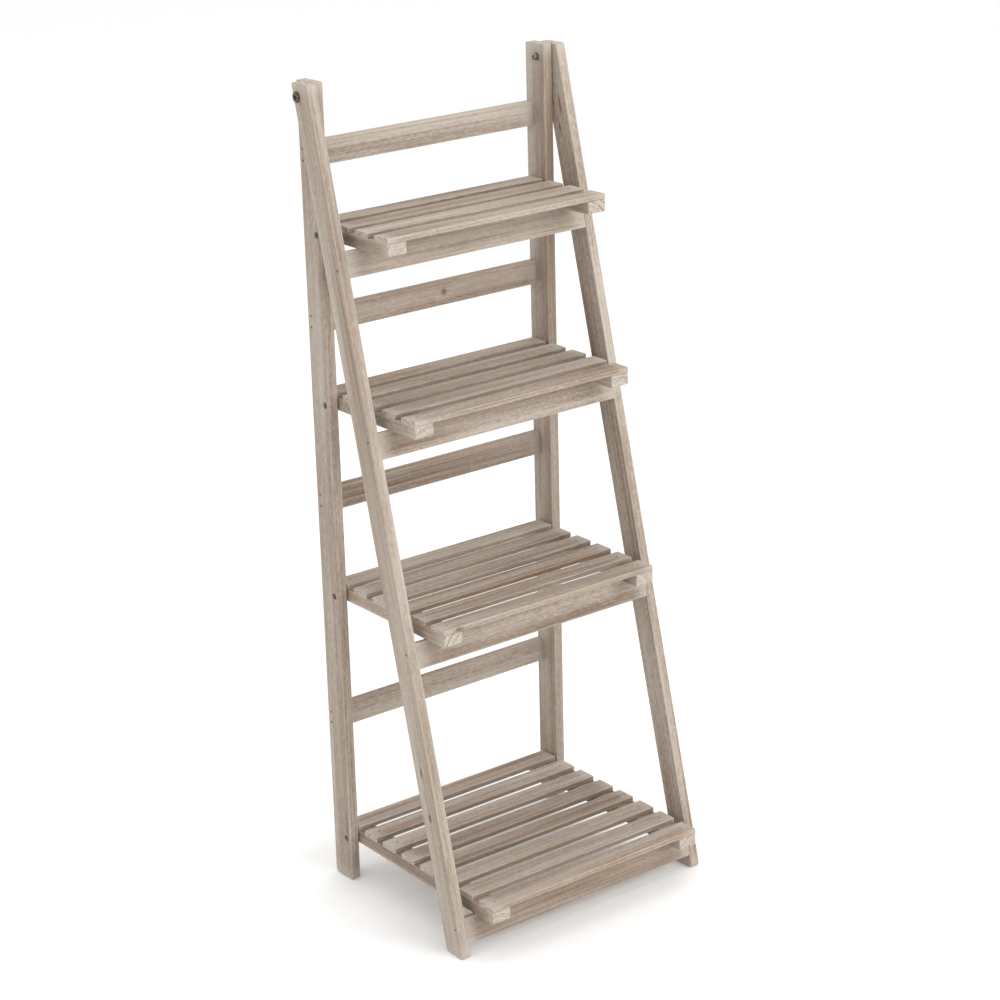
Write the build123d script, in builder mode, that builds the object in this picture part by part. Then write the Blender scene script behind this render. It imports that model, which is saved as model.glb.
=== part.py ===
"""Folding ladder shelf: an A-frame of two hinged wooden frames with four slatted shelves.

Frame of reference: millimetres, +Z up, the front looks along -Y, +X is to the right seen from the
front, and the origin is at the bottom centre of the bounding box, on the floor.

The rear frame carries the shelves and the top pivots. The front frame is wider: its legs stand
outside the rear legs and its rails pass in front of them, so the shelf folds flat.
"""

from build123d import *
import os
from math import cos, radians, sin, tan

os.makedirs("parts", exist_ok=True)

# --- driving dimensions -------------------------------------------------------------------------
top_height = 1080.5          # top of the legs above the floor
board_thickness = 13.3       # stock of the legs
rear_leg_depth = 38.7
front_leg_depth = 34.2
rear_lean = 2.0              # degrees from the vertical, top leans forward
front_lean = 12.0            # degrees from the vertical, top leans backward
foot_spread = 313.5          # front of the front feet to the back of the rear feet
inner_half_width = 167.4     # centre to the inner face of a rear leg
frame_gap = 1.0              # between a rear leg and the front leg beside it

shelf_tops = [905.2, 684.8, 424.7, 74.6]
slat_counts = [4, 5, 6, 8]
shelf_back_insets = [4.6, 4.6, 8.8, 7.9]   # rear-most slat edge to the back face of the rear legs
slat_half_length = 165.6
slat_width = 29.3
slat_gap = 13.8
slat_thickness = 6.9
batten_width = 27.0
batten_height = 16.3
rest_gap = 0.4               # between a batten and the front rail that it rests on

front_rail_height = 33.5
front_rail_thickness = 10.0
back_rail_height = 31.3
back_rail_thickness = 13.0
back_rail_tops = [1004.0, 791.3, 552.2, 247.0]
rail_inset = 0.4             # outer face of a rail behind the face of its legs

bolt_height = 1063.5
bolt_behind_rear_front = 15.5   # pivot bolt, behind the front face of the rear legs
bolt_radius = 2.5
bolt_head_radius = 6.9
bolt_head_thickness = 2.4
bolt_head_ease = 1.6
bolt_socket_flats = 4.0
bolt_socket_depth = 3.5
bolt_end_proud = 0.8         # past the face of the nut
bolt_end_ease = 0.6
nut_flats = 8.0
nut_thickness = 4.0
nut_ease = 0.5
inner_washer_radius = 5.4    # under the nuts
inner_washer_thickness = 1.0
spacer_radius = 6.5          # washers between the two frames
head_gap = 0.3               # under the bolt head, and between the spacer and the front leg
running_clearance = 0.06     # radial, pivot holes that turn on a bolt or a screw

pivot_behind_rear_front = 10.0  # shelf pivot screws, behind the front face of the rear legs
screw_radius = 2.0
screw_head_radius = 3.9
screw_head_thickness = 2.2
screw_head_ease = 0.8
screw_cross_length = 4.4
screw_cross_width = 0.9
screw_cross_depth = 1.2
screw_recess_radius = 4.5
screw_recess_depth = 5.0
screw_grip = 20.0            # length of screw inside the batten

rail_nail_radius = 1.0
rail_nail_head_radius = 1.7
rail_nail_grip = 18.0        # length of nail inside the rail
front_rail_nail_drops = [[22.0], [9.0], [12.0], [12.0]]   # below the top of each rail
back_rail_nail_drops = [[8.2, 23.0]] * 4
slat_nail_radius = 0.8
slat_nail_head_radius = 1.3
slat_nail_length = 14.5
nail_head_thickness = 0.6
nail_clearance = 0.04

edge_ease = 0.9              # rounding of the long edges of the boards
slat_ease = 1.2
foot_corner = 5.0
top_corner = 2.5
batten_nose = 3.0            # rounding of the lower front corner of a batten

# --- positions worked out from the driving dimensions ---------------------------------------------
rear_slope = tan(radians(rear_lean))
front_slope = tan(radians(front_lean))
slat_pitch = slat_width + slat_gap
shelf_depths = [(count - 1) * slat_pitch + slat_width for count in slat_counts]
rear_foot_back = (shelf_depths[3] + shelf_back_insets[3] + rear_slope * shelf_tops[3]) / 2
rear_outer = inner_half_width + board_thickness
front_inner = rear_outer + frame_gap
front_outer = front_inner + board_thickness
spacer_thickness = frame_gap - head_gap


def rear_back_y(z):
    """Back face of the rear legs at height z."""
    return rear_foot_back - rear_slope * z


def rear_front_y(z):
    """Front face of the rear legs at height z."""
    return rear_back_y(z) - rear_leg_depth / cos(radians(rear_lean))


def front_front_y(z):
    """Front face of the front legs at height z."""
    return rear_foot_back - foot_spread + front_slope * z


def front_back_y(z):
    """Back face of the front legs at height z."""
    return front_front_y(z) + front_leg_depth / cos(radians(front_lean))


def shelf_pivot(number):
    """Y and Z of the pivot screws of a shelf, at half the height of its battens."""
    z = shelf_tops[number] - slat_thickness - batten_height / 2
    return rear_front_y(z) + pivot_behind_rear_front, z


def front_rail_centre(number):
    """Y and Z of the middle of a front rail's section; its top front edge meets the battens."""
    top = shelf_tops[number] - slat_thickness - batten_height - rest_gap
    lean = radians(front_lean)
    face_y = front_front_y(top) + rail_inset / cos(lean)
    y = face_y + front_rail_thickness / 2 * cos(lean) - front_rail_height / 2 * sin(lean)
    z = top - front_rail_thickness / 2 * sin(lean) - front_rail_height / 2 * cos(lean)
    return y, z


def back_rail_centre(number):
    """Y and Z of the middle of a back rail's section, just inside the back face of the rear legs."""
    lean = radians(rear_lean)
    z = back_rail_tops[number] - back_rail_height / 2 * cos(lean)
    y = rear_back_y(z) - (rail_inset + back_rail_thickness / 2) / cos(lean)
    return y, z


def along(centre, height, drop, lean):
    """Y and Z of a point on a rail section's mid-line, a distance below the top of the rail."""
    offset = height / 2 - drop
    return centre[0] + offset * sin(radians(lean)), centre[1] + offset * cos(radians(lean))


bolt_y = rear_front_y(bolt_height) + bolt_behind_rear_front
rail_nail_points_front = [
    along(front_rail_centre(k), front_rail_height, drop, front_lean)
    for k in range(4)
    for drop in front_rail_nail_drops[k]
]
rail_nail_points_back = [
    along(back_rail_centre(k), back_rail_height, drop, -rear_lean)
    for k in range(4)
    for drop in back_rail_nail_drops[k]
]


def save(piece, name):
    """Labels a finished piece and writes it to its own file."""
    piece.part.label = name
    export_step(piece.part, f"parts/{name}.step")


# --- legs -----------------------------------------------------------------------------------------
def leg(side, inner_x, outline, drilled_points):
    """A leg cut from one board, with its feet and top corners rounded and its nail holes drilled."""
    start = inner_x if side > 0 else -inner_x - board_thickness
    with BuildPart() as board:
        with BuildSketch(Plane.YZ.offset(start)) as profile:
            with BuildLine():
                Polyline(*outline, close=True)
            make_face()
            fillet(profile.vertices().sort_by(Axis.Y)[:2], foot_corner)
            fillet(profile.vertices().sort_by(Axis.Y)[-2:], top_corner)
        extrude(amount=board_thickness)
        fillet(board.edges().filter_by(Axis.X, reverse=True), edge_ease)
        with BuildSketch(Plane.YZ.offset(start)):
            with Locations(*drilled_points):
                Circle(rail_nail_radius + nail_clearance)
        extrude(amount=board_thickness, mode=Mode.SUBTRACT)
        face_x = start if side < 0 else start + board_thickness
        with BuildSketch(Plane.YZ.offset(face_x)):
            with Locations(*drilled_points):
                Circle(rail_nail_head_radius + nail_clearance)
        extrude(amount=-side * (nail_head_thickness + nail_clearance), mode=Mode.SUBTRACT)
    return board


def leg_outline(front_at, back_at):
    """Corners of a leg in the YZ plane: the foot and the top are both cut level."""
    return [
        (front_at(0), 0),
        (back_at(0), 0),
        (back_at(top_height), top_height),
        (front_at(top_height), top_height),
    ]


rear_outline = leg_outline(rear_front_y, rear_back_y)
front_outline = leg_outline(front_front_y, front_back_y)

for side, word in ((-1, "left"), (1, "right")):
    rear = leg(side, inner_half_width, rear_outline, rail_nail_points_back)
    with BuildPart() as rear_leg:
        add(rear.part)
        with BuildSketch(Plane.YZ.offset(side * inner_half_width)):
            with Locations((bolt_y, bolt_height)):
                Circle(bolt_radius + nail_clearance)
        extrude(amount=side * board_thickness, mode=Mode.SUBTRACT)
        for number in range(4):
            y, z = shelf_pivot(number)
            with Locations(Plane(origin=(side * rear_outer, y, z), z_dir=(side, 0, 0))):
                CounterBoreHole(
                    screw_radius + running_clearance,
                    screw_recess_radius,
                    screw_recess_depth,
                    board_thickness,
                )
    save(rear_leg, f"rear_leg_{word}")

    front = leg(side, front_inner, front_outline, rail_nail_points_front)
    with BuildPart() as front_leg:
        add(front.part)
        with BuildSketch(Plane.YZ.offset(side * front_inner)):
            with Locations((bolt_y, bolt_height)):
                Circle(bolt_radius + running_clearance)
        extrude(amount=side * board_thickness, mode=Mode.SUBTRACT)
    save(front_leg, f"front_leg_{word}")


# --- rails ----------------------------------------------------------------------------------------
def rail(centre, thickness, height, lean, half_length, drops):
    """A rail between two legs, square to them, with a nail hole bored into each end."""
    with BuildPart() as board:
        with BuildSketch(Plane.YZ.offset(-half_length)):
            with Locations(centre):
                Rectangle(thickness, height, rotation=-lean)
        extrude(amount=2 * half_length)
        fillet(board.edges().filter_by(Axis.X), edge_ease)
        for side in (-1, 1):
            with BuildSketch(Plane.YZ.offset(side * half_length)):
                with Locations(*[along(centre, height, drop, lean) for drop in drops]):
                    Circle(rail_nail_radius + nail_clearance)
            extrude(amount=-side * (rail_nail_grip + nail_clearance), mode=Mode.SUBTRACT)
    return board


for k in range(4):
    front_rail = rail(
        front_rail_centre(k), front_rail_thickness, front_rail_height, front_lean,
        front_inner, front_rail_nail_drops[k],
    )
    save(front_rail, f"front_rail_{k + 1}")
    back_rail = rail(
        back_rail_centre(k), back_rail_thickness, back_rail_height, -rear_lean,
        inner_half_width, back_rail_nail_drops[k],
    )
    save(back_rail, f"back_rail_{k + 1}")


# --- shelves --------------------------------------------------------------------------------------
def slat_centres(number):
    """Y of each slat's middle, from the back of the shelf to the front."""
    back = rear_back_y(shelf_tops[number]) - shelf_back_insets[number]
    return [back - slat_width / 2 - slat_pitch * n for n in range(slat_counts[number])]


batten_centre_x = slat_half_length - batten_width / 2

for k in range(4):
    top = shelf_tops[k]
    centres = slat_centres(k)
    pivot_y, pivot_z = shelf_pivot(k)
    for n, y in enumerate(centres):
        with BuildPart() as slat:
            with BuildSketch(Plane.XY.offset(top - slat_thickness)):
                with Locations((0, y)):
                    Rectangle(2 * slat_half_length, slat_width)
            extrude(amount=slat_thickness)
            fillet(slat.edges().filter_by(Axis.X), slat_ease)
            with Locations((-batten_centre_x, y, top), (batten_centre_x, y, top)):
                CounterBoreHole(
                    slat_nail_radius + nail_clearance,
                    slat_nail_head_radius + nail_clearance,
                    nail_head_thickness + nail_clearance,
                    slat_thickness,
                )
        save(slat, f"shelf_{k + 1}_slat_{n + 1}")

    for side, word in ((-1, "left"), (1, "right")):
        front_y = centres[-1] - slat_width / 2
        with BuildPart() as batten:
            with BuildSketch(Plane.XY.offset(top - slat_thickness - batten_height)):
                with Locations((side * batten_centre_x, front_y)):
                    Rectangle(batten_width, shelf_depths[k], align=(Align.CENTER, Align.MIN))
            extrude(amount=batten_height)
            lower_front = batten.edges().filter_by(Axis.X).group_by(Axis.Z)[0].sort_by(Axis.Y)[0]
            fillet(lower_front, batten_nose)
            fillet(batten.edges().filter_by(Axis.Y).group_by(Axis.Z)[0], edge_ease)
            with Locations(*[(side * batten_centre_x, y, top - slat_thickness) for y in centres]):
                Hole(slat_nail_radius + nail_clearance, slat_nail_length - slat_thickness + nail_clearance)
            with Locations(Plane(origin=(side * slat_half_length, pivot_y, pivot_z), z_dir=(side, 0, 0))):
                Hole(screw_radius + nail_clearance, screw_grip + nail_clearance)
        save(batten, f"shelf_{k + 1}_batten_{word}")

    with BuildPart() as pivot_screws:
        head_floor = rear_outer - screw_recess_depth + head_gap
        with BuildSketch(Plane.YZ.offset(slat_half_length - screw_grip)):
            with Locations((pivot_y, pivot_z)):
                Circle(screw_radius)
        extrude(amount=head_floor - slat_half_length + screw_grip)
        with BuildSketch(Plane.YZ.offset(head_floor)):
            with Locations((pivot_y, pivot_z)):
                Circle(screw_head_radius)
        extrude(amount=screw_head_thickness)
        fillet(pivot_screws.edges().filter_by(GeomType.CIRCLE).sort_by(Axis.X)[-1], screw_head_ease)
        with BuildSketch(Plane.YZ.offset(head_floor + screw_head_thickness)):
            with Locations((pivot_y, pivot_z)):
                Rectangle(screw_cross_length, screw_cross_width)
                Rectangle(screw_cross_width, screw_cross_length)
        extrude(amount=-screw_cross_depth, mode=Mode.SUBTRACT)
        mirror(about=Plane.YZ)
    save(pivot_screws, f"shelf_{k + 1}_pivot_screws")

    with BuildPart() as slat_nails:
        nail_spots = [(side * batten_centre_x, y) for side in (-1, 1) for y in centres]
        with BuildSketch(Plane.XY.offset(top - slat_nail_length)):
            with Locations(*nail_spots):
                Circle(slat_nail_radius)
        extrude(amount=slat_nail_length)
        with BuildSketch(Plane.XY.offset(top - nail_head_thickness)):
            with Locations(*nail_spots):
                Circle(slat_nail_head_radius)
        extrude(amount=nail_head_thickness)
    save(slat_nails, f"shelf_{k + 1}_slat_nails")


# --- nails of the two frames ------------------------------------------------------------------------
def rail_nails(points, outer_x):
    """Nails driven through the legs into the ends of the rails, heads flush with the legs."""
    length = board_thickness + rail_nail_grip
    with BuildPart() as nails:
        for side in (-1, 1):
            with BuildSketch(Plane.YZ.offset(side * outer_x)):
                with Locations(*points):
                    Circle(rail_nail_radius)
            extrude(amount=-side * length)
            with BuildSketch(Plane.YZ.offset(side * outer_x)):
                with Locations(*points):
                    Circle(rail_nail_head_radius)
            extrude(amount=-side * nail_head_thickness)
    return nails


save(rail_nails(rail_nail_points_front, front_outer), "front_rail_nails")
save(rail_nails(rail_nail_points_back, rear_outer), "back_rail_nails")


# --- top pivots -------------------------------------------------------------------------------------
nut_face = inner_half_width - inner_washer_thickness
bolt_point = (bolt_y, bolt_height)

with BuildPart() as pivot_bolts:
    bolt_end = nut_face - nut_thickness - bolt_end_proud
    head_start = front_outer + head_gap
    with BuildSketch(Plane.YZ.offset(bolt_end)):
        with Locations(bolt_point):
            Circle(bolt_radius)
    extrude(amount=head_start - bolt_end)
    fillet(pivot_bolts.edges().filter_by(GeomType.CIRCLE).sort_by(Axis.X)[0], bolt_end_ease)
    with BuildSketch(Plane.YZ.offset(head_start)):
        with Locations(bolt_point):
            Circle(bolt_head_radius)
    extrude(amount=bolt_head_thickness)
    fillet(pivot_bolts.edges().filter_by(GeomType.CIRCLE).sort_by(Axis.X)[-1], bolt_head_ease)
    with BuildSketch(Plane.YZ.offset(head_start + bolt_head_thickness)):
        with Locations(bolt_point):
            RegularPolygon(bolt_socket_flats / 2, 6, major_radius=False)
    extrude(amount=-bolt_socket_depth, mode=Mode.SUBTRACT)
    mirror(about=Plane.YZ)
save(pivot_bolts, "pivot_bolts")

with BuildPart() as pivot_washers:
    with BuildSketch(Plane.YZ.offset(rear_outer)):
        with Locations(bolt_point):
            Circle(spacer_radius)
            Circle(bolt_radius + nail_clearance, mode=Mode.SUBTRACT)
    extrude(amount=spacer_thickness)
    with BuildSketch(Plane.YZ.offset(nut_face)):
        with Locations(bolt_point):
            Circle(inner_washer_radius)
            Circle(bolt_radius + nail_clearance, mode=Mode.SUBTRACT)
    extrude(amount=inner_washer_thickness)
    mirror(about=Plane.YZ)
save(pivot_washers, "pivot_washers")

with BuildPart() as pivot_nuts:
    with BuildSketch(Plane.YZ.offset(nut_face)):
        with Locations(bolt_point):
            RegularPolygon(nut_flats / 2, 6, major_radius=False)
    extrude(amount=-nut_thickness)
    chamfer(pivot_nuts.faces().sort_by(Axis.X)[0].edges(), nut_ease)
    with BuildSketch(Plane.YZ.offset(nut_face)):
        with Locations(bolt_point):
            Circle(bolt_radius + nail_clearance)
    extrude(amount=-nut_thickness, mode=Mode.SUBTRACT)
    mirror(about=Plane.YZ)
save(pivot_nuts, "pivot_nuts")
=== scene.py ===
"""Looks of the folding ladder shelf: washed boards, metal fittings, floor, light and camera. Metres."""

import random
from math import cos, radians, sin

import bpy
from mathutils import Matrix, Vector


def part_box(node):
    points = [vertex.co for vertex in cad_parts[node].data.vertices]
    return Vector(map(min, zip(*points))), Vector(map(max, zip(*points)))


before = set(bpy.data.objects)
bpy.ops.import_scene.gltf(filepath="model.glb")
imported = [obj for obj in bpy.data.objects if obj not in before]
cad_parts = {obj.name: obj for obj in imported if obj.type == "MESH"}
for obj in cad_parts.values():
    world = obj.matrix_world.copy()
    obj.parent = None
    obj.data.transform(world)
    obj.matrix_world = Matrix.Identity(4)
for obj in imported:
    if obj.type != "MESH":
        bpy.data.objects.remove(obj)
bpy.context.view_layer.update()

# sizes of the boards that lean, which their boxes do not give
rear_lean = radians(-2.0)
front_lean = radians(12.0)
rear_leg_depth = 0.0387
front_leg_depth = 0.0342
leg_thickness = 0.0133
front_rail_size = (0.0335, 0.0100)
back_rail_size = (0.0313, 0.0130)
rail_count = 4

# rings and bands of the wood, in features a metre of radius
ring_count = 230.0
band_count = 95.0
warm_band_count = 150.0
sawn_ring_count = 380.0

# how the boards differ: wash, warmth and depth of tone from 0 to 1, and bend of the rings in metres
wash_range = (0.15, 0.50)
warmth_range = (0.25, 0.85)
depth_range = (0.42, 0.58)
figure_range = (0.008, 0.028)
seed_step = 1.37
# how strongly painted shade darkens the front and back faces of the slats, standing in for the shade in the
# gaps between them
slat_side_painted_shade = 0.55
floor_width = 60.0
sky_strength = 1.02


# ---------------------------------------------------------------- node helpers

def paint(red, green, blue):
    """A colour as it looks on a scale of 0 to 255, as the linear values that nodes take."""
    levels = [level / 255 for level in (red, green, blue)]
    return (*[((v + 0.055) / 1.055) ** 2.4 if v > 0.04045 else v / 12.92 for v in levels], 1.0)


def put(tree, socket, value):
    """Feed a socket from another one, or set its own value."""
    if isinstance(value, bpy.types.NodeSocket):
        tree.links.new(value, socket)
    else:
        socket.default_value = value


def node(tree, kind, inputs, **settings):
    """A new shader node with its settings made and its sockets fed."""
    made = tree.nodes.new("ShaderNode" + kind)
    for key, value in settings.items():
        setattr(made, key, value)
    for key, value in inputs.items():
        put(tree, made.inputs[key], value)
    return made


def maths(tree, operation, *values):
    """One Math node, and the socket that its result comes from."""
    return node(tree, "Math", dict(enumerate(values)), operation=operation).outputs[0]


def vectors(tree, operation, *values):
    """One Vector Math node, and the socket that its result comes from."""
    made = node(tree, "VectorMath", dict(enumerate(values)), operation=operation)
    return made.outputs["Value" if operation == "LENGTH" else "Vector"]


def noise(tree, place, stretch, detail, roughness=0.5):
    """Noise with so many features a metre along, across and through the board, from 0 to 1."""
    scaled = vectors(tree, "MULTIPLY", place, stretch)
    made = node(tree, "TexNoise", {"Vector": scaled, "Scale": 1.0, "Detail": detail, "Roughness": roughness})
    return made.outputs[0]


def line_noise(tree, position, detail, roughness=0.5):
    """Noise along one number, from 0 to 1."""
    made = node(tree, "TexNoise", {"W": position, "Scale": 1.0, "Detail": detail, "Roughness": roughness},
                noise_dimensions="1D")
    return made.outputs[0]


def spread(tree, value, low, high, to_low=0.0, to_high=1.0):
    """A value eased from one range to another, and held at the ends."""
    made = node(tree, "MapRange", {0: value, 1: low, 2: high, 3: to_low, 4: to_high},
                interpolation_type="SMOOTHSTEP")
    return made.outputs[0]


def blend(tree, amount, first, second, way="MIX"):
    """The first colour changed by the second."""
    made = node(tree, "Mix", {0: amount, 6: first, 7: second}, data_type="RGBA", blend_type=way)
    return made.outputs[2]


def ramp(tree, value, stops):
    """A colour for each value, from (position, colour) stops."""
    made = node(tree, "ValToRGB", {0: value})
    bar = made.color_ramp.elements
    bar[0].position, bar[0].color = stops[0]
    bar[1].position, bar[1].color = stops[-1]
    for position, colour in stops[1:-1]:
        bar.new(position).color = colour
    return made.outputs[0]


def new_group(name, inputs, outputs):
    """A shader node group with named sockets."""
    tree = bpy.data.node_groups.new(name, "ShaderNodeTree")
    for label, kind, value in inputs:
        socket = tree.interface.new_socket(name=label, in_out="INPUT", socket_type="NodeSocket" + kind)
        socket.default_value = value
    for label, kind in outputs:
        tree.interface.new_socket(name=label, in_out="OUTPUT", socket_type="NodeSocket" + kind)
    start = tree.nodes.new("NodeGroupInput").outputs
    end = tree.nodes.new("NodeGroupOutput").inputs
    return tree, start, end


def seeded(tree, place, seed):
    """A place shifted by the seed, so that no two boards come from the same spot of the noise."""
    shift = node(tree, "CombineXYZ", {0: maths(tree, "MULTIPLY", seed, 3.7),
                                      1: maths(tree, "MULTIPLY", seed, 1.9),
                                      2: maths(tree, "MULTIPLY", seed, 2.6)})
    return vectors(tree, "ADD", place, shift.outputs[0])


# ---------------------------------------------------------------- colours of the washed wood

wood_tones = [
    (0.12, paint(114, 97, 83)), (0.32, paint(143, 127, 113)), (0.50, paint(160, 146, 133)),
    (0.68, paint(171, 159, 147)), (0.90, paint(188, 179, 169))]
sawn_end_tones = [
    (0.26, paint(134, 119, 106)), (0.44, paint(170, 158, 146)), (0.62, paint(186, 177, 168))]
knot_tones = [(0.35, paint(84, 62, 47)), (0.65, paint(128, 100, 78))]
ring_brown = paint(116, 96, 80)
thread_brown = paint(118, 99, 84)
pit_brown = paint(118, 100, 86)
# painted shade colour for the slat faces in the gaps between slats
gap_shade_brown = paint(104, 88, 76)
warm_tint = paint(255, 238, 219)
wash_film = paint(188, 180, 170)
dried_wash = paint(186, 178, 169)
washed_edge = paint(190, 181, 170)
bare_edge = paint(182, 158, 132)


# ---------------------------------------------------------------- shared effects

def make_knot_effect():
    """A knot: a dark eye drawn out along the grain, and the push that it gives the rings around it."""
    tree, start, end = new_group(
        "Knot",
        [("Place", "Vector", (0, 0, 0)), ("Centre", "Vector", (9, 9, 9)),
         ("Size", "Vector", (0.01, 0.004, 0.02)), ("Before", "Float", 0.0), ("Push Before", "Float", 0.0)],
        [("Knot", "Float"), ("Push", "Float")])
    away = vectors(tree, "SUBTRACT", start["Place"], start["Centre"])
    rough = noise(tree, start["Place"], (160, 420, 420), 2)
    scaled = vectors(tree, "DIVIDE", away, start["Size"])
    distance = maths(tree, "ADD", vectors(tree, "LENGTH", scaled), maths(tree, "MULTIPLY", rough, 0.9))
    eye = spread(tree, distance, 0.75, 1.55, 1.0, 0.0)
    halo = spread(tree, distance, 0.6, 3.6, 0.0035, 0.0)
    put(tree, end["Knot"], maths(tree, "MAXIMUM", eye, start["Before"]))
    put(tree, end["Push"], maths(tree, "ADD", halo, start["Push Before"]))
    return tree


def make_edge_effect():
    """How near a point of a board is to one of its edges, 1 on the edge and 0 past the wear."""
    tree, start, end = new_group(
        "Worn Edge",
        [("Place", "Vector", (0, 0, 0)), ("Half Size", "Vector", (1, 1, 1)), ("Seeded", "Vector", (0, 0, 0)),
         ("Reach", "Float", 0.002)],
        [("Wear", "Float")])
    inside = vectors(tree, "SUBTRACT", start["Half Size"], vectors(tree, "ABSOLUTE", start["Place"]))
    gap = node(tree, "SeparateXYZ", {0: inside}).outputs
    lower = maths(tree, "MINIMUM", gap[1], gap[2])
    upper = maths(tree, "MAXIMUM", gap[1], gap[2])
    middle = maths(tree, "MAXIMUM", lower, maths(tree, "MINIMUM", upper, gap[0]))
    ragged = noise(tree, start["Seeded"], (60, 400, 400), 3)
    patchy = noise(tree, start["Seeded"], (7, 40, 40), 2)
    uneven = maths(tree, "MULTIPLY", maths(tree, "SUBTRACT", ragged, 0.5), 0.0032)
    reach = maths(tree, "MULTIPLY", start["Reach"], spread(tree, patchy, 0.35, 0.65, 0.45, 1.5))
    distance = maths(tree, "DIVIDE", maths(tree, "ADD", middle, uneven), reach)
    put(tree, end["Wear"], spread(tree, distance, 0.1, 1.0, 1.0, 0.0))
    return tree


def make_board_effect():
    """Pale wash over brown wood: year rings, fibres, pores, warm bands, worn edges and end grain."""
    tree, start, end = new_group(
        "Washed Board",
        [("Place", "Vector", (0, 0, 0)), ("Facing", "Vector", (0, 0, 1)), ("Half Size", "Vector", (1, 1, 1)),
         ("Seed", "Float", 1.0), ("Wash", "Float", 0.5), ("Warmth", "Float", 0.5), ("Depth", "Float", 0.5),
         # the gap input sets how much painted shade darkens the slat faces that look into the gaps
         ("Figure", "Float", 0.015), ("Gap Painted Shade", "Float", 0.0),
         ("Knot", "Float", 0.0), ("Push", "Float", 0.0)],
        [("Colour", "Color"), ("Roughness", "Float"), ("Height", "Float")])
    seed = start["Seed"]
    place = seeded(tree, start["Place"], seed)
    point = node(tree, "SeparateXYZ", {0: start["Place"]}).outputs

    # year rings round a heart that lies below and beside the board, bent slowly along its length
    heart_across = maths(tree, "MULTIPLY", maths(tree, "SINE", maths(tree, "MULTIPLY", seed, 2.1)), 0.030)
    heart_below = maths(tree, "ADD", 0.036, maths(tree, "MULTIPLY", maths(tree, "SINE", seed), 0.014))
    across = maths(tree, "POWER", maths(tree, "SUBTRACT", point[1], heart_across), 2.0)
    below = maths(tree, "POWER", maths(tree, "ADD", point[2], heart_below), 2.0)
    bend = maths(tree, "SUBTRACT", noise(tree, place, (1.6, 14, 14), 2), 0.5)
    radius = maths(tree, "SQRT", maths(tree, "ADD", across, below))
    radius = maths(tree, "ADD", radius, maths(tree, "MULTIPLY", bend, start["Figure"]))
    radius = maths(tree, "ADD", radius, start["Push"])
    shifted = maths(tree, "ADD", radius, maths(tree, "MULTIPLY", seed, 0.171))
    rings = line_noise(tree, maths(tree, "MULTIPLY", shifted, ring_count), 3, 0.62)
    bands = line_noise(tree, maths(tree, "MULTIPLY", shifted, band_count), 2, 0.55)
    warm_bands = line_noise(tree, maths(tree, "MULTIPLY_ADD", shifted, warm_band_count, 40.0), 2, 0.55)

    fibres = noise(tree, place, (5, 430, 430), 4, 0.62)
    pores = noise(tree, place, (45, 1500, 1500), 2)
    blotches = noise(tree, place, (3.2, 30, 30), 3)
    mottle = noise(tree, place, (140, 380, 380), 3, 0.6)

    tone = start["Depth"]
    for pattern, strength in ((rings, 0.50), (bands, 0.45), (fibres, 0.75),
                              (blotches, 0.85), (mottle, 0.40)):
        tone = maths(tree, "MULTIPLY_ADD", maths(tree, "SUBTRACT", pattern, 0.5), strength, tone)
    colour = ramp(tree, tone, wood_tones)
    line = maths(tree, "MULTIPLY", spread(tree, rings, 0.64, 0.78), spread(tree, blotches, 0.62, 0.42))
    colour = blend(tree, maths(tree, "MULTIPLY", line, 0.55), colour, ring_brown)

    # thin dark threads along the grain
    threads = spread(tree, noise(tree, place, (3, 560, 560), 3, 0.55), 0.56, 0.66)
    colour = blend(tree, maths(tree, "MULTIPLY", threads, 0.50), colour, thread_brown)

    # warm streaks where the wash is thin, and grey ones where it has soaked in
    warm = maths(tree, "MULTIPLY", spread(tree, warm_bands, 0.50, 0.68), start["Warmth"])
    colour = blend(tree, warm, colour, warm_tint, "MULTIPLY")
    film = spread(tree, maths(tree, "ADD", mottle, blotches), 0.92, 1.26)
    film = maths(tree, "MULTIPLY", film, start["Wash"])
    colour = blend(tree, film, colour, wash_film)
    pits = spread(tree, pores, 0.60, 0.72)
    colour = blend(tree, maths(tree, "MULTIPLY", pits, 0.35), colour, pit_brown)

    # dried wash left near the ends, and painted shade on the sides of the gaps between slats: a darker brown
    # standing in for the shade that falls there
    facing = node(tree, "SeparateXYZ", {0: start["Facing"]}).outputs
    half = node(tree, "SeparateXYZ", {0: start["Half Size"]}).outputs
    from_end = maths(tree, "SUBTRACT", half[0], maths(tree, "ABSOLUTE", point[0]))
    from_end = maths(tree, "MULTIPLY_ADD", maths(tree, "SUBTRACT", mottle, 0.5), 0.05, from_end)
    colour = blend(tree, spread(tree, from_end, 0.002, 0.022, 0.55, 0.0), colour, dried_wash)
    sides = spread(tree, maths(tree, "ABSOLUTE", facing[1]), 0.55, 0.90)
    # painted shade: faces turned to the gaps are darkened by the amount given
    dirt_and_shade = maths(tree, "MULTIPLY", sides, start["Gap Painted Shade"])
    colour = blend(tree, dirt_and_shade, colour, gap_shade_brown)

    # edges rubbed to the bare wood in places, pale with dried wash in others
    wear = node(tree, "Group", {"Place": start["Place"], "Half Size": start["Half Size"], "Seeded": place},
                node_tree=edge_effect)
    rubbed = spread(tree, noise(tree, place, (9, 60, 60), 2), 0.40, 0.60)
    edge_colour = blend(tree, rubbed, washed_edge, bare_edge)
    worn = maths(tree, "MULTIPLY", wear.outputs["Wear"], 0.50)
    colour = blend(tree, worn, colour, edge_colour)

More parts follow.
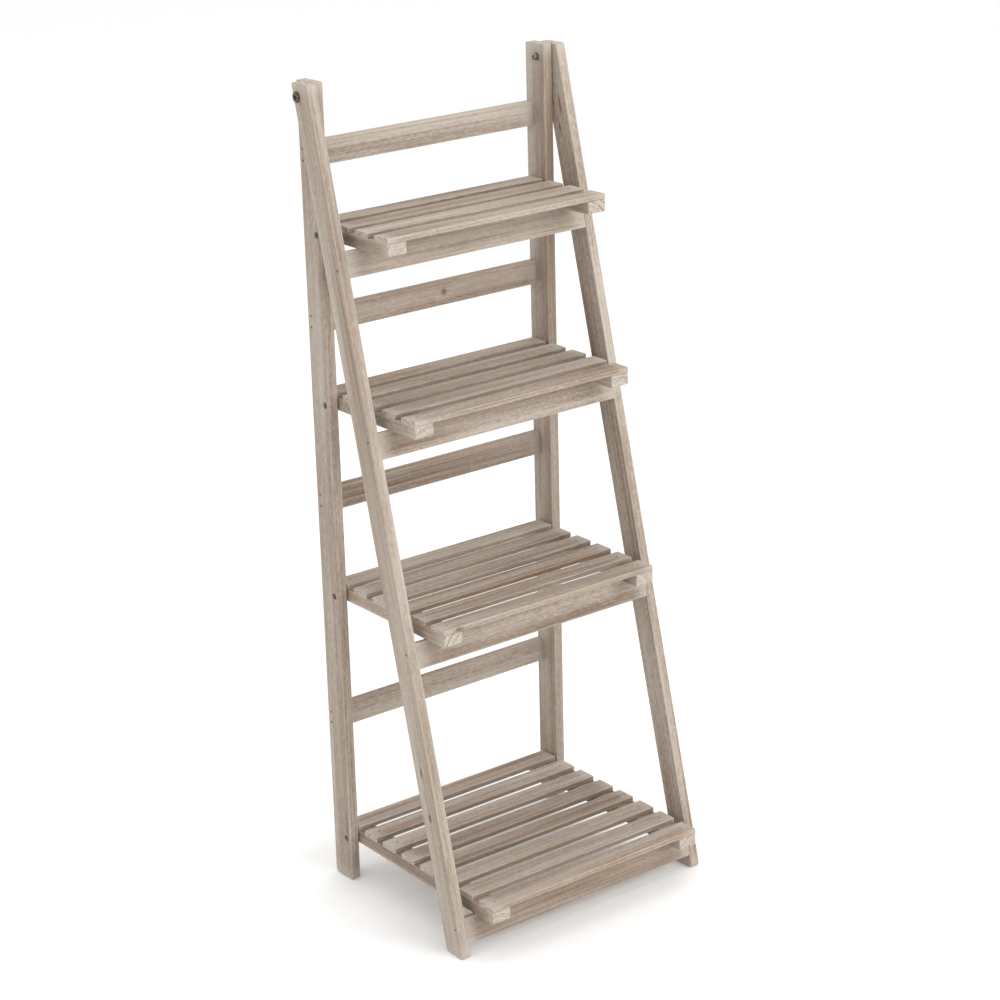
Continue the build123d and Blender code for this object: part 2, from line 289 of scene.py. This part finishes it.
    # sawn ends: the rings in section, with dried wash between them
    sawn = spread(tree, maths(tree, "ABSOLUTE", facing[0]), 0.60, 0.85)
    section = line_noise(tree, maths(tree, "MULTIPLY", shifted, sawn_ring_count), 2, 0.6)
    section = maths(tree, "MULTIPLY_ADD", maths(tree, "SUBTRACT", mottle, 0.5), 0.8, section)
    colour = blend(tree, sawn, colour, ramp(tree, section, sawn_end_tones))
    eye = maths(tree, "MULTIPLY", start["Knot"], 0.85)
    colour = blend(tree, eye, colour, ramp(tree, rings, knot_tones))

    height = maths(tree, "MULTIPLY", rings, 0.45)
    height = maths(tree, "MULTIPLY_ADD", fibres, 0.60, height)
    height = maths(tree, "MULTIPLY_ADD", pits, -0.35, height)
    height = maths(tree, "MULTIPLY_ADD", section, maths(tree, "MULTIPLY", sawn, 0.5), height)
    height = maths(tree, "MULTIPLY_ADD", start["Knot"], -0.25, height)
    rough = maths(tree, "MULTIPLY_ADD", mottle, 0.20, 0.62)
    rough = maths(tree, "MULTIPLY_ADD", worn, -0.12, rough)
    put(tree, end["Colour"], colour)
    put(tree, end["Roughness"], rough)
    put(tree, end["Height"], height)
    return tree


def make_metal_effect():
    """Plated metal: cloudy plating, fine rubbing marks and specks of dirt."""
    tree, start, end = new_group(
        "Worn Plating",
        [("Place", "Vector", (0, 0, 0)), ("Bright", "Color", (1, 1, 1, 1)), ("Dull", "Color", (0, 0, 0, 1)),
         ("Dirt", "Color", (0, 0, 0, 1)), ("Shine", "Float", 0.3)],
        [("Colour", "Color"), ("Roughness", "Float"), ("Metallic", "Float"), ("Height", "Float")])
    clouds = noise(tree, start["Place"], (420, 420, 420), 3)
    marks = noise(tree, start["Place"], (500, 3200, 900), 2)
    specks = noise(tree, start["Place"], (1500, 1500, 1500), 3)
    colour = blend(tree, spread(tree, clouds, 0.36, 0.64), start["Bright"], start["Dull"])
    dirt_and_shade = spread(tree, maths(tree, "ADD", specks, maths(tree, "MULTIPLY", clouds, 0.5)), 0.80, 0.95)
    colour = blend(tree, dirt_and_shade, colour, start["Dirt"])
    rough = maths(tree, "MULTIPLY_ADD", clouds, 0.25, start["Shine"])
    rough = maths(tree, "MULTIPLY_ADD", dirt_and_shade, 0.3, rough)
    put(tree, end["Colour"], colour)
    put(tree, end["Roughness"], rough)
    put(tree, end["Metallic"], maths(tree, "MULTIPLY_ADD", dirt_and_shade, -0.6, 1.0))
    put(tree, end["Height"], maths(tree, "MULTIPLY_ADD", marks, 0.5, maths(tree, "MULTIPLY", specks, 0.3)))
    return tree


knot_effect = make_knot_effect()
edge_effect = make_edge_effect()
board_effect = make_board_effect()
metal_effect = make_metal_effect()


# ---------------------------------------------------------------- materials

def new_material(name, specular, bump_strength, bump_depth):
    """A material with one surface shader, and a bump node on its normal."""
    material = bpy.data.materials.new(name)
    material.use_nodes = True
    tree = material.node_tree
    surface = tree.nodes["Principled BSDF"]
    surface.inputs["Specular IOR Level"].default_value = specular
    bump = node(tree, "Bump", {"Strength": bump_strength, "Distance": bump_depth})
    put(tree, surface.inputs["Normal"], bump.outputs[0])
    return material, tree, surface, bump


def washed_wood(name, centre, axes, half_size, seed, look, gap_painted_shade, knots):
    """Washed wood for one board, with the grain along the first of its axes."""
    material, tree, surface, bump = new_material("washed wood " + name, 0.28, 0.55, 0.0005)
    turn = axes.to_euler()
    coords = node(tree, "TexCoord", {}).outputs
    place = node(tree, "Mapping", {0: coords["Object"], 1: centre, 2: turn},
                 vector_type="TEXTURE").outputs[0]
    facing = node(tree, "Mapping", {0: coords["Normal"], 2: turn}, vector_type="TEXTURE").outputs[0]
    eyes, push = 0.0, 0.0
    for knot_point, knot_size in knots:
        local = axes.inverted() @ (Vector(knot_point) - centre)
        knot = node(tree, "Group", {"Place": place, "Centre": local, "Size": knot_size,
                                    "Before": eyes, "Push Before": push}, node_tree=knot_effect)
        eyes, push = knot.outputs["Knot"], knot.outputs["Push"]
    wash, warmth, depth, figure = look
    board = node(tree, "Group", {"Place": place, "Facing": facing, "Half Size": half_size, "Seed": seed,
                                 "Wash": wash, "Warmth": warmth, "Depth": depth, "Figure": figure,
                                 "Gap Painted Shade": gap_painted_shade, "Knot": eyes, "Push": push}, node_tree=board_effect)
    put(tree, surface.inputs["Base Color"], board.outputs["Colour"])
    put(tree, surface.inputs["Roughness"], board.outputs["Roughness"])
    put(tree, bump.inputs["Height"], board.outputs["Height"])
    return material


def plated_metal(name, bright, dull, dirt_and_shade, shine):
    """Plated and handled metal, for the fittings."""
    material, tree, surface, bump = new_material(name, 0.5, 0.35, 0.0002)
    coords = node(tree, "TexCoord", {}).outputs
    plating = node(tree, "Group", {"Place": coords["Object"], "Bright": bright, "Dull": dull, "Dirt": dirt_and_shade,
                                   "Shine": shine}, node_tree=metal_effect)
    put(tree, surface.inputs["Base Color"], plating.outputs["Colour"])
    put(tree, surface.inputs["Roughness"], plating.outputs["Roughness"])
    put(tree, surface.inputs["Metallic"], plating.outputs["Metallic"])
    put(tree, bump.inputs["Height"], plating.outputs["Height"])
    return material


def finish_with(node_name, material):
    """Give a CAD part its finish."""
    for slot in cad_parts[node_name].material_slots:
        slot.material = material


# ---------------------------------------------------------------- the boards

def upright(lean):
    """Axes of a leg: grain up the leg, width front to back, thickness sideways."""
    return Matrix(((0, 0, -1), (sin(lean), cos(lean), 0), (cos(lean), -sin(lean), 0)))


def crosswise(lean):
    """Axes of a rail: grain from side to side, width up the legs, thickness front to back."""
    return Matrix(((1, 0, 0), (0, sin(lean), -cos(lean)), (0, cos(lean), sin(lean))))


flat = Matrix.Identity(3)
front_to_back = Matrix(((0, -1, 0), (1, 0, 0), (0, 0, 1)))

# knots of some boards: where each one is, and its half size along, across and through the grain
knots = {
    "back_rail_2": [((0.0179, 0.130, 0.777), (0.0062, 0.0058, 0.020))],
    "front_leg_right": [((0.1817, 0.083, 1.002), (0.0160, 0.0028, 0.006)),
                        ((0.1817, 0.085, 0.973), (0.0090, 0.0030, 0.006))],
    "front_leg_left": [((-0.195, -0.072, 0.235), (0.0100, 0.0030, 0.006)),
                       ((-0.195, -0.086, 0.178), (0.0080, 0.0045, 0.006))],
    "rear_leg_left": [((-0.1807, 0.136, 0.081), (0.0260, 0.0012, 0.005))],
    "shelf_2_slat_3": [((0.039, 0.055, 0.6848), (0.0070, 0.0016, 0.005))],
    "shelf_3_slat_6": [((-0.1425, -0.100, 0.422), (0.0080, 0.0045, 0.006))],
    "shelf_3_slat_5": [((-0.0665, -0.0747, 0.4247), (0.0120, 0.0018, 0.005))],
}


def half_of(node_name):
    """Centre and half size of a part's box."""
    low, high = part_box(node_name)
    return (low + high) / 2, (high - low) / 2


def finish_board(node_name, axes, half_size, seed, gap_painted_shade=0.0):
    """Washed wood on one board, in a tone and a figure of its own."""
    chance = random.Random(node_name)
    look = [chance.uniform(*limits) for limits in (wash_range, warmth_range, depth_range, figure_range)]
    centre, _ = half_of(node_name)
    material = washed_wood(node_name.replace("_", " "), centre, axes, half_size, seed, look, gap_painted_shade,
                           knots.get(node_name, []))
    finish_with(node_name, material)


seed = 1.0
for side in ("left", "right"):
    for frame_name, lean, depth in (("rear", rear_lean, rear_leg_depth),
                                    ("front", front_lean, front_leg_depth)):
        name = frame_name + "_leg_" + side
        half_length = half_of(name)[1].z / cos(lean)
        finish_board(name, upright(lean), (half_length, depth / 2, leg_thickness / 2), seed)
        seed += seed_step
for frame_name, lean, size in (("back", rear_lean, back_rail_size), ("front", front_lean, front_rail_size)):
    for number in range(1, rail_count + 1):
        name = f"{frame_name}_rail_{number}"
        half_length = half_of(name)[1].x
        finish_board(name, crosswise(lean), (half_length, size[0] / 2, size[1] / 2), seed)
        seed += seed_step
front_slats = ("shelf_1_slat_4", "shelf_2_slat_5", "shelf_3_slat_6", "shelf_4_slat_8")
for name in sorted(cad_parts):
    if "slat_" in name and "nails" not in name:
        # every slat except the front one gets painted shade on its faces in the gaps
        finish_board(name, flat, half_of(name)[1], seed, 0.0 if name in front_slats else slat_side_painted_shade)
        seed += seed_step
    elif "batten" in name:
        half = half_of(name)[1]
        finish_board(name, front_to_back, (half.y, half.x, half.z), seed)
        seed += seed_step

# ---------------------------------------------------------------- the fittings

bronze = plated_metal("aged bronze bolts", paint(124, 109, 88), paint(84, 72, 58), paint(52, 43, 36), 0.26)
zinc = plated_metal("zinc plated steel", paint(168, 165, 158), paint(128, 124, 117), paint(78, 69, 60), 0.30)
nail_steel = plated_metal("dull nails", paint(122, 112, 101), paint(88, 79, 70), paint(60, 52, 45), 0.42)
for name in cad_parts:
    if name == "pivot_bolts":
        finish_with(name, bronze)
    elif name in ("pivot_washers", "pivot_nuts") or name.endswith("pivot_screws"):
        finish_with(name, zinc)
    elif name.endswith("nails"):
        finish_with(name, nail_steel)

# ---------------------------------------------------------------- floor, light and camera

bpy.ops.object.select_all(action="DESELECT")
bpy.ops.mesh.primitive_plane_add(size=floor_width, location=(0, 0, 0))
floor = bpy.context.object
floor.name = "studio_floor"
floor_paper, floor_tree, floor_surface, floor_bump = new_material("pale floor paper", 0.1, 0.05, 0.001)
floor_coords = node(floor_tree, "TexCoord", {}).outputs
floor_grain = noise(floor_tree, floor_coords["Object"], (40, 40, 40), 3)
put(floor_tree, floor_surface.inputs["Base Color"],
    blend(floor_tree, floor_grain, paint(249, 249, 248), paint(252, 252, 252)))
put(floor_tree, floor_bump.inputs["Height"], floor_grain)
floor_surface.inputs["Roughness"].default_value = 0.9
floor.data.materials.append(floor_paper)


def soft_box(name, place, aim, size, power):
    """A square soft light turned to its aim."""
    lamp = bpy.data.lights.new(name, "AREA")
    lamp.size = size
    lamp.energy = power
    light = bpy.data.objects.new(name, lamp)
    light.location = place
    light.rotation_euler = (Vector(aim) - Vector(place)).to_track_quat("-Z", "Y").to_euler()
    bpy.context.scene.collection.objects.link(light)


soft_box("front_light", (1.0, -4.2, 2.6), (0, 0, 0.5), 2.4, 95.0)
soft_box("left_light", (-4.2, -0.6, 2.2), (0, 0, 0.5), 2.4, 5.0)
soft_box("top_light", (0.4, 0.6, 4.2), (0, 0, 0.3), 2.6, 22.0)

world = bpy.data.worlds.new("studio")
world.use_nodes = True
world.node_tree.nodes["Background"].inputs["Color"].default_value = (1.0, 1.0, 1.0, 1.0)
world.node_tree.nodes["Background"].inputs["Strength"].default_value = sky_strength
bpy.context.scene.world = world
bpy.context.scene.view_settings.view_transform = "Standard"

camera_turn = radians(35.623)
camera_pitch = radians(18.113)
camera_roll = radians(-2.732)
camera_distance = 3.2895
camera_offset = (-0.0033, 0.0545)
camera_target = Vector((0, 0, 0.54))
camera_lens = 92.887
camera_sensor = 36.0
camera_shift = (0.0015, -0.05)
forward = Vector((sin(camera_turn) * cos(camera_pitch), cos(camera_turn) * cos(camera_pitch),
                  -sin(camera_pitch)))
level_right = forward.cross(Vector((0, 0, 1))).normalized()
level_up = level_right.cross(forward)
right = cos(camera_roll) * level_right + sin(camera_roll) * level_up
up = cos(camera_roll) * level_up - sin(camera_roll) * level_right
camera_data = bpy.data.cameras.new("camera")
camera_data.sensor_width = camera_sensor
camera_data.lens = camera_lens
camera_data.shift_x = camera_shift[0]
camera_data.shift_y = camera_shift[1]
camera = bpy.data.objects.new("camera", camera_data)
camera_place = camera_target + right * camera_offset[0] + up * camera_offset[1] - forward * camera_distance
camera.matrix_world = Matrix.Translation(camera_place) @ Matrix((right, up, -forward)).transposed().to_4x4()
bpy.context.scene.collection.objects.link(camera)
bpy.context.scene.camera = camera
